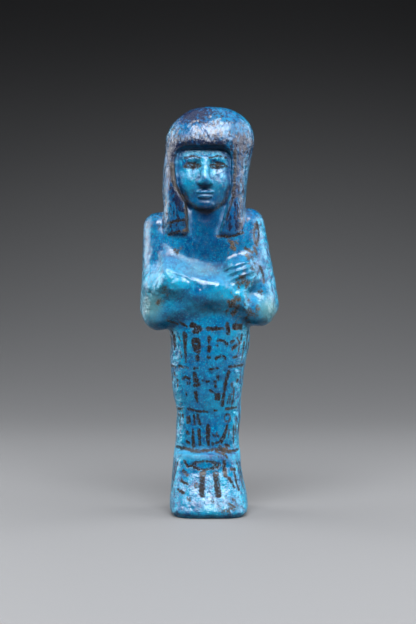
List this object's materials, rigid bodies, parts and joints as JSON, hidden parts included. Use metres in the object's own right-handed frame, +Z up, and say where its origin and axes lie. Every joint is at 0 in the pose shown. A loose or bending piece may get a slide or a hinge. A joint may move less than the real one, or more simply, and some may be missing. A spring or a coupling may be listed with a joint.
{
  "type": "ushabti figurine",
  "caption": "Small mummy-shaped faience servant figure standing on its flat foot, arms crossed, in a long wig, with painted rows of marks.",
  "frame": {"origin": "centre of the flat sole that the figure stands on", "axes": "+Z up along the figure, the face and crossed arms look along -Y, +X to the viewer's right"},
  "size_m": [0.0395, 0.0267, 0.115],
  "materials": {
    "blue_faience": "gloss"
  },
  "bodies": {
    "root": {"ushabti_figurine": "blue_faience"}
  },
  "joints": []
}
